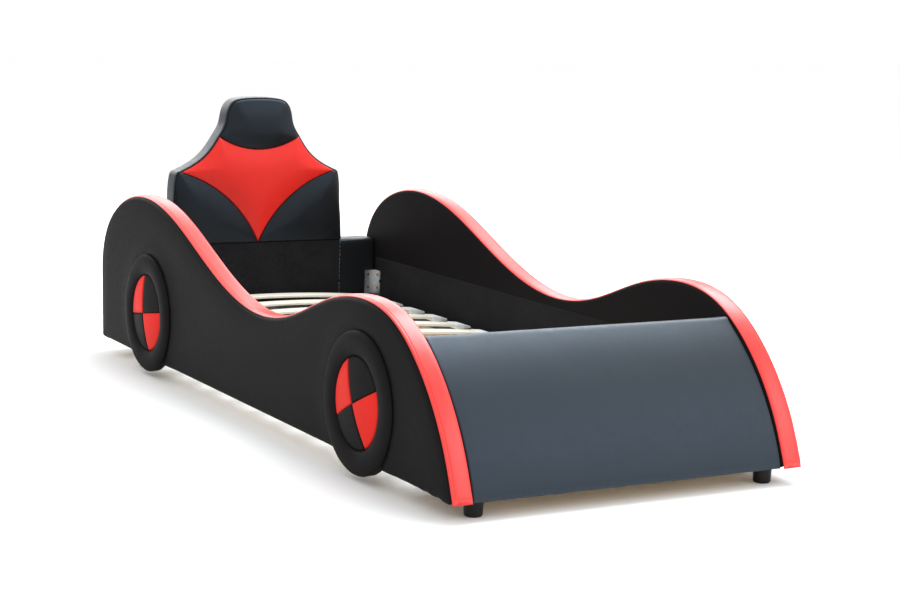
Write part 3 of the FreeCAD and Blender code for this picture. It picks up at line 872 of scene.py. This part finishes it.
def tyre(place_name, sign, y0, z0):
    """A broad, low padded ring, gathered a little where it is pulled over its board."""
    section, inside = tyre_section()
    turns = 180
    seed = sum(map(ord, place_name)) * 0.13
    near_edge = np.exp(-inside / 0.22) * (inside > 0)
    vertices = []
    for i in range(turns):
        angle = 2 * math.pi * i / turns
        around = Vector((math.cos(angle) * 2.5, math.sin(angle) * 2.5, seed))
        tight = Vector((math.cos(angle) * 13, math.sin(angle) * 13, seed))
        swell = 0.0010 * noise.noise(around) * np.minimum(inside * 3, 1)
        gather = 0.0007 * noise.noise(tight) * near_edge
        x = sign * (SEAM_OUT + section[:, 0] + swell + gather)
        r = section[:, 1]
        vertices.append(np.column_stack([x, y0 + r * math.sin(angle), z0 + r * math.cos(angle)]))
    faces = ring_faces(turns, len(section), closed=True)
    seam = np.tile(section[:, 2], turns)
    piece = make_piece("padded_tyre_" + place_name, np.vstack(vertices), faces, seam)
    settle(piece, MATT_LEATHER, "black_leathercloth", "tyre_ring_" + place_name)


def hub_quarter(place_name, sign, y0, z0, quarter, turn):
    """A quarter of the padded hub, part of one low dome."""
    radius, gap = HUB_RADIUS, 0.0005
    reach = math.sqrt(radius ** 2 - gap ** 2)
    mid = radius / math.sqrt(2)
    loop = closed_outline(straight((gap, gap), (reach, gap), 0.005),
                          circle_arc((reach, gap), (mid, mid), (gap, reach), 0.005),
                          straight((gap, reach), (gap, gap), 0.005))
    angle = math.radians(90 * quarter + turn)
    c, s = math.cos(angle), math.sin(angle)
    foot = SEAM_OUT + WHEEL_BOARD

    def place(u, v, w):
        y = c * u - s * v
        z = s * u + c * v
        return np.column_stack([sign * (foot + w), y0 - y, z0 + z])

    def base(u, v):
        return HUB_EDGE + HUB_DOME * (1 - (u ** 2 + v ** 2) / radius ** 2)

    def rise(d, along, u, v):
        return crown(d, 0.0024, 0.007) + puckers(d, along, 0.0003, 0.010, 0.006, quarter + 0.5)

    colour = "red" if quarter % 2 else "black"
    piece = pad("hub_{}_quarter_{}_{}".format(colour, quarter, place_name), loop, place, rise, 0.0,
                spacing=0.006, rings=(0.0008, 0.002, 0.004, 0.007), base=base)
    material = RED_HUB if colour == "red" else MATT_LEATHER
    settle(piece, material, colour + "_leathercloth", "hub_{}_{}".format(colour, place_name))


def build_wheels():
    for place_name, turn in WHEEL_TURNS.items():
        end, side = place_name.split("_")
        y0, z0 = WHEEL_PLACES[end]
        tyre(place_name, SIDES[side], y0, z0)
        for quarter in range(4):
            hub_quarter(place_name, SIDES[side], y0, z0, quarter, turn)


# ------------------ headboard and racing seat
def seat_front(u, v, w):
    return np.column_stack([u, HEAD_LOW.y - 0.001 - w, v])


def seat_curves(step=0.006):
    crown_half = smooth_curve(CROWN + [(-x, z) for x, z in CROWN[-2::-1]], step)
    wing = smooth_curve(WING, step)
    corner = smooth_curve([FLANK[-1], (0.294, 0.6025), SHOULDER], 0.003)
    flank = joined(smooth_curve(FLANK, step), corner)
    lobe = circle_arc(SHOULDER, LOBE_MIDDLE, (0.0, SEAT_BASE), step)
    neck = circle_arc((-NECK[0], NECK[1]), NECK_MIDDLE, NECK, step)
    return crown_half, wing, flank, lobe, neck


def seat_pad(name, loop, material, slot, height, node, seed):
    def rise(d, along, u, v):
        return (crown(d, 0.0030, 0.0045) + crown(d, height, 0.080, 2.0)
                + puckers(d, along, 0.00008, 0.020, 0.012, seed)
                + 0.0006 * wander2(u, v, 0.14, seed) * np.clip(d / 0.03, 0, 1))

    piece = pad(name, loop, seat_front, rise, 0.021, spacing=0.009)
    settle(piece, material, slot, node)


def build_seat():
    """The headrest, the red centre and the two lobes, with the band round them."""
    crown_edge, wing, flank, lobe, neck = seat_curves()
    seat_pad("headrest_leathercloth", closed_outline(crown_edge, neck), BLACK_LEATHER,
             "black_leathercloth", 0.019, "headrest_pad", 1.7)
    centre = closed_outline(wing, neck[::-1], flipped(wing), flipped(lobe)[::-1], lobe[::-1])
    seat_pad("red_centre_leathercloth", centre, RED_LEATHER, "red_leathercloth", 0.013,
             "seat_centre_pad", 2.9)
    base = straight((0.0, SEAT_BASE), (SEAT_HALF, SEAT_BASE), 0.006)
    right = closed_outline(base, flank, lobe)
    left = closed_outline(np.column_stack([-right[:, 0], right[:, 1]]))
    for side, loop in (("right", right), ("left", left)):
        seat_pad("seat_lobe_leathercloth_" + side, loop, BLACK_LEATHER, "black_leathercloth", 0.014,
                 "seat_pad_" + side, 4.0 + SIDES[side])
    build_gusset(joined(flank, wing, crown_edge, flipped(wing), flipped(flank)))


def build_gusset(path):
    """The band of leathercloth round the edge of the seat."""
    def place(p, q, s):
        return np.column_stack([p, (HEAD_LOW.y + SEAT_REAR) / 2 + s, q])

    def shape(s, length):
        gathers = 0.0005 * np.exp(-(1 - np.abs(s)) / 0.12)
        swell = 0.0010 * ripple(length, 0.15, 4.0)
        return gathers * ripple(length, 0.02, 3.0) + swell * (1 - s ** 2)

    half = (SEAT_REAR - HEAD_LOW.y) / 2 + 0.001
    band = strip("seat_gusset_leathercloth", path, place, half, 0.006, 4.5, 52, shape)
    settle(band, BLACK_LEATHER, "black_leathercloth", "seat_gusset")


def rounded_box(name, low, high, radius, voxel):
    """A box with rolled edges, remeshed evenly."""
    size = high - low
    work = bmesh.new()
    bmesh.ops.create_cube(work, size=1.0, matrix=Matrix.Translation((low + high) / 2)
                          @ Matrix.Diagonal((size.x, size.y, size.z, 1.0)))
    bmesh.ops.bevel(work, geom=work.edges[:], offset=radius, segments=5, profile=0.5, affect="EDGES")
    mesh = bpy.data.meshes.new(name)
    work.to_mesh(mesh)
    work.free()
    piece = in_scene(name, mesh)
    remesh = piece.modifiers.new("even", "REMESH")
    remesh.mode = "VOXEL"
    remesh.voxel_size = voxel
    mesh = frozen_mesh(piece)
    piece.modifiers.clear()
    piece.data = mesh
    return piece


def build_headboard():
    """A padded box between the side panels, with lining across its middle."""
    piece = rounded_box("headboard_leathercloth", HEAD_LOW.copy(), HEAD_HIGH.copy(), 0.013, 0.007)
    centre = (HEAD_LOW + HEAD_HIGH) / 2
    half = (HEAD_HIGH - HEAD_LOW) / 2
    for vertex in piece.data.vertices:
        p = vertex.co
        rel = Vector([(p[i] - centre[i]) / half[i] for i in range(3)])
        edge = max(0.0, 1 - max(abs(rel.x), abs(rel.z)) ** 6)
        soft = 0.0012 * noise.noise(Vector((p.x / 0.09, p.y / 0.09, p.z / 0.06)))
        p.y += math.copysign(1, rel.y) * (abs(rel.y) > 0.8) * (0.0005 + soft) * edge
        top_dip = 0.0010 * noise.noise(Vector((p.x / 0.05, p.y / 0.03, 2.0)))
        p.z += (rel.z > 0.9) * top_dip
    mark_seams(piece.data, np.full(len(piece.data.vertices), FAR_FROM_SEAM))
    shade(piece.data)
    settle(piece, BLACK_LEATHER, "black_leathercloth", "headboard_cover")

    def place(u, v, w):
        return np.column_stack([u, HEAD_LOW.y - 0.0012 - w, v])

    felt_sheet("headboard_felt", ((-SEAT_HALF, PANEL_FOOT + 0.003), (SEAT_HALF, SEAT_BASE - 0.001)),
               place, "headboard_lining", spacing=0.014,
               seed=8.0)


# ------------------ bonnet
BONNET_MIDDLE = (-1.0905, 0.2495)
BONNET_TOP = (-0.940, 0.394)
BONNET_HALF = BONNET_HIGH.x + 0.0012
BONNET_THICK = 0.0072
BONNET_ROLL = 0.0035            # of the cloth's two ends
TOE_ROLL = 0.0045
CORNER_TUCK = 0.0045


def bonnet_section():
    """The bonnet's cloth in section: the curved face, wrapped over the top and under the toe."""
    toe = (BONNET_LOW.y, BONNET_LOW.z)
    arc = circle_arc(toe, BONNET_MIDDLE, BONNET_TOP, 0.008)
    normals = outward_normals(arc)
    normals *= np.sign(-normals[len(arc) // 2, 0])
    top = [(-0.9350, 0.3968), (-0.9290, 0.3976), (-0.9230, 0.3965), (-0.9120, 0.3948),
           (-0.9020, 0.3932), (-0.8982, 0.3905), (-0.8968, 0.3850), (-0.8968, 0.3780),
           (-0.8980, 0.3775), (-0.8990, 0.3850), (-0.9010, 0.3915), (-0.9280, 0.3940)]
    inner = (arc - normals * BONNET_THICK)[::-1]
    under = [(toe[0] + 0.0055, toe[1] - 0.0030), (toe[0] + 0.0015, toe[1] - 0.0024)]
    return arc, normals, np.array(top), inner, np.array(under)


def bonnet_ring(x, section, lengths):
    """One ring of the bonnet's cloth, with its ends rolled and tucked in."""
    arc, normals, top, inner, under = section
    end = BONNET_HALF - abs(x)
    rolled = BONNET_ROLL * (1 - math.sqrt(max(0.0, 1 - (1 - min(end / 0.006, 1)) ** 2)))
    across = np.full(len(arc), x)
    soft = wander2(across, lengths, 0.16, 6.0) * 0.0010
    tiny = wander2(across, lengths * 0.35, 0.035, 9.0) * 0.00025
    bulge = 0.0020 * np.sin(np.pi * lengths / lengths[-1]) * (1 - (x / BONNET_HALF) ** 4)
    toe_roll = TOE_ROLL * np.exp(-lengths / 0.006)
    out = bulge + (soft + tiny) * min(end / 0.03, 1) - rolled - toe_roll
    front = arc + normals * out[:, None]
    from_top = lengths[-1] - lengths
    tuck = CORNER_TUCK * np.exp(-end / 0.014) * (0.4 + ripple(x, 0.011, 3.0))
    front[:, 1] -= (x < 0) * tuck * np.exp(-from_top / 0.020)
    front[:, 1] += (x > 0) * 0.0030 * np.exp(-end / 0.03) * np.exp(-from_top / 0.012)
    ridge = top - [0.0, 0.6 * rolled] + [0.0, 0.0006 * ripple(x, 0.08, 7.0)]
    ridge[:, 1] += 0.0030 * np.exp(-end / 0.03) * (x > 0) - (x < 0) * tuck
    hem = under + [0.0, 0.0008 * ripple(x, 0.06, 11.0)]
    ring = np.vstack([front, ridge, inner, hem])
    return np.column_stack([np.full(len(ring), x), ring])


def build_bonnet():
    """One curved leathercloth panel, with rolled edges, between the two noses."""
    section = bonnet_section()
    lengths = path_lengths(section[0])
    stations = np.unique(np.concatenate([
        np.linspace(-1, 1, 110), -1 + np.linspace(0, 0.035, 8), 1 - np.linspace(0, 0.035, 8)]))
    rings = [bonnet_ring(t * BONNET_HALF, section, lengths) for t in stations]
    vertices = np.vstack(rings)
    seam = np.full(len(vertices), FAR_FROM_SEAM)
    piece = make_piece("bonnet_leathercloth", vertices, ring_faces(len(rings), len(rings[0])), seam)
    settle(piece, SATIN_SKY_TINTED_LEATHER, "black_leathercloth", "bonnet_cover")

    low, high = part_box("bonnet_lining")

    def place(u, v, w):
        return np.column_stack([u, high.y - 0.0012 + w, v])

    felt_sheet("bonnet_felt", ((low.x, low.z), (high.x, high.z)), place, "bonnet_lining",
               seed=12.0)


# ------------------ slatted base
SLAT_COUNT = 13
SLAT_WIDTH = 0.053
SLAT_THICK = 0.009
SLAT_HALF_LENGTH = 0.425
SLAT_END = 0.160                # height of the middle of a slat at its ends
SLAT_EASE = 0.0022
CAP_LENGTH = 0.056
CAP_HALF = 0.030


def one_slat(y):
    """A bowed slat with eased edges."""
    bow = SLAT_HIGH.z - SLAT_END - SLAT_THICK / 2
    radius = (SLAT_HALF_LENGTH ** 2 + bow ** 2) / (2 * bow)
    w, h, ease = SLAT_WIDTH / 2, SLAT_THICK / 2, SLAT_EASE
    corner = [(-w, h - ease), (-w + ease * 0.4, h - ease * 0.4), (-w + ease, h)]
    top = corner + [(-x, z) for x, z in corner[::-1]]
    section = top + [(x, -z) for x, z in top[::-1]]
    steps = 40
    vertices = []
    for i in range(steps + 1):
        x = SLAT_HALF_LENGTH * (2 * i / steps - 1)
        angle = math.asin(x / radius)
        z = SLAT_END + bow - radius + math.sqrt(radius ** 2 - x ** 2)
        for across, up in section:
            vertices.append((x + up * math.sin(angle), y + across, z + up * math.cos(angle)))
    faces = ring_faces(steps + 1, len(section))
    return make_piece("sprung_slats", vertices, faces, smooth=False)


def one_cap(y, sign):
    """A tapered plastic holder with rounded edges."""
    tip, foot = CAP_HIGH.x, CAP_LOW.z
    root = tip - CAP_LENGTH
    outline = [(root + 0.004, foot), (tip - 0.002, foot), (tip, foot + 0.002), (tip, foot + 0.0060),
               (tip - 0.002, foot + 0.0078), (tip - 0.024, foot + 0.0145), (root, foot + 0.0172),
               (root, foot + 0.0022)]
    vertices = [(sign * x, y + s * CAP_HALF, z) for s in (-1, 1) for x, z in outline]
    piece = make_piece("slat_holders", vertices, ring_faces(2, len(outline)), smooth=False)
    work = bmesh.new()
    work.from_mesh(piece.data)
    bmesh.ops.bevel(work, geom=work.edges[:], offset=0.0014, segments=2, profile=0.5, affect="EDGES")
    work.to_mesh(piece.data)
    work.free()
    return piece


def build_base():
    first = SLAT_LOW.y + SLAT_WIDTH / 2
    pitch = (SLAT_HIGH.y - SLAT_LOW.y - SLAT_WIDTH) / (SLAT_COUNT - 1)
    slats = grown(one_slat(first), ROW, Count=SLAT_COUNT, Step=(0.0, pitch, 0.0), Material=BIRCH)
    settle(slats, BIRCH, "birch", "slats")
    caps = [grown(one_cap(first, sign), ROW, Count=SLAT_COUNT, Step=(0.0, pitch, 0.0),
                  Material=WHITE_PLASTIC) for sign in (-1, 1)]
    holders = merged("slat_holders", caps)
    settle(holders, WHITE_PLASTIC, "white_plastic", "slat_caps")


# ------------------ fittings and CAD nodes
CAD_DRESS = [
    (PLYWOOD, ("side_board_left", "side_board_right", "headboard_board", "seat_board", "bonnet_skin",
               "bonnet_ribs")),
    (PINE, ("ledger_left", "ledger_right", "headboard_posts", "bonnet_bottom_rail")),
    (BLACK_STEEL, ("base_side_tube_left", "base_side_tube_right", "base_end_tubes",
                   "base_centre_tube", "centre_legs")),
    (BLACK_PLASTIC, ("foot_front_left", "foot_front_right", "foot_rear_left", "foot_rear_right")),
    (ZINC, ("corner_brackets", "foot_bolts", "headboard_staples", "ledger_screws")),
    (YELLOW_ZINC, ("bracket_screws",)),
    (BLACK_FELT, ("seat_back_cover", "bonnet_back_board", "wheel_boards_left", "wheel_boards_right")),
]


def dress_cad():
    for material, nodes in CAD_DRESS:
        for node in nodes:
            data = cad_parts[node].data
            data.materials.clear()
            data.materials.append(material)


# ------------------ studio
CAMERA_PLACE = (-2.746, -5.047, 1.221)
CAMERA_TURN = (0.5196, 0.1539, 0.0330)
LENS = 78.3                     # in mm, for a sensor 36 mm wide
SENSOR = 36.0


def build_camera():
    """A long lens from the front left, a little above the bed."""
    yaw, pitch, roll = CAMERA_TURN
    ahead = Vector((math.sin(yaw) * math.cos(pitch), math.cos(yaw) * math.cos(pitch), -math.sin(pitch)))
    level = Vector((math.cos(yaw), -math.sin(yaw), 0.0))
    top = level.cross(ahead)
    right = level * math.cos(roll) + top * math.sin(roll)
    up = top * math.cos(roll) - level * math.sin(roll)
    camera = in_scene("camera", bpy.data.cameras.new("camera"))
    camera.data.lens = LENS
    camera.data.sensor_width = SENSOR
    turn = Matrix((right, up, -ahead)).transposed().to_4x4()
    camera.matrix_world = Matrix.Translation(CAMERA_PLACE) @ turn
    camera.data.clip_end = 100.0
    bpy.context.scene.camera = camera


FLOOR_HALF = 30
PAPER_WHITE = (0.95, 0.95, 0.95)
DAYLIGHT = 1.05                 # strength of the even white all round
# Softboxes: name, place, target, size, power and colour.
SOFTBOXES = [
    ("overhead_softbox", (1.6, 0.7, 3.7), (0.4, 0.3, 0.3), (2.4, 4.4), 210, (0.90, 0.97, 1.0)),
    ("back_softbox", (0.5, 5.6, 2.95), (0.0, 1.0, 0.6), (8.0, 2.6), 190, NEUTRAL),
    ("front_softbox", (3.2, -4.8, 3.4), (0.0, -0.8, 0.3), (4.0, 3.0), 58, (0.92, 0.97, 1.0)),
]


def area_light(name, place, target, size, power, color):
    data = bpy.data.lights.new(name, "AREA")
    data.shape = "RECTANGLE"
    data.size, data.size_y = size
    data.energy = power
    data.color = color
    lamp = in_scene(name, data)
    lamp.location = place
    lamp.rotation_euler = (Vector(target) - Vector(place)).to_track_quat("-Z", "Y").to_euler()


def build_studio():
    corners = [(x * FLOOR_HALF, y * FLOOR_HALF, 0) for x, y in ((-1, -1), (1, -1), (1, 1), (-1, 1))]
    floor = make_piece("studio_floor", corners, [(0, 1, 2, 3)])
    paint = Recipe("pale_floor", PAPER_WHITE, 0.95, specular=0.05)
    floor.data.materials.append(paint.material)
    world = bpy.data.worlds.new("studio")
    world.use_nodes = True
    sky = world.node_tree.nodes["Background"]
    sky.inputs["Color"].default_value = (*NEUTRAL, 1.0)
    sky.inputs["Strength"].default_value = DAYLIGHT
    bpy.context.scene.world = world
    for softbox in SOFTBOXES:
        area_light(*softbox)
    bpy.context.scene.view_settings.view_transform = "Standard"


build_camera()
build_sides()
build_wheels()
build_headboard()
build_seat()
build_bonnet()
build_base()
dress_cad()
build_studio()
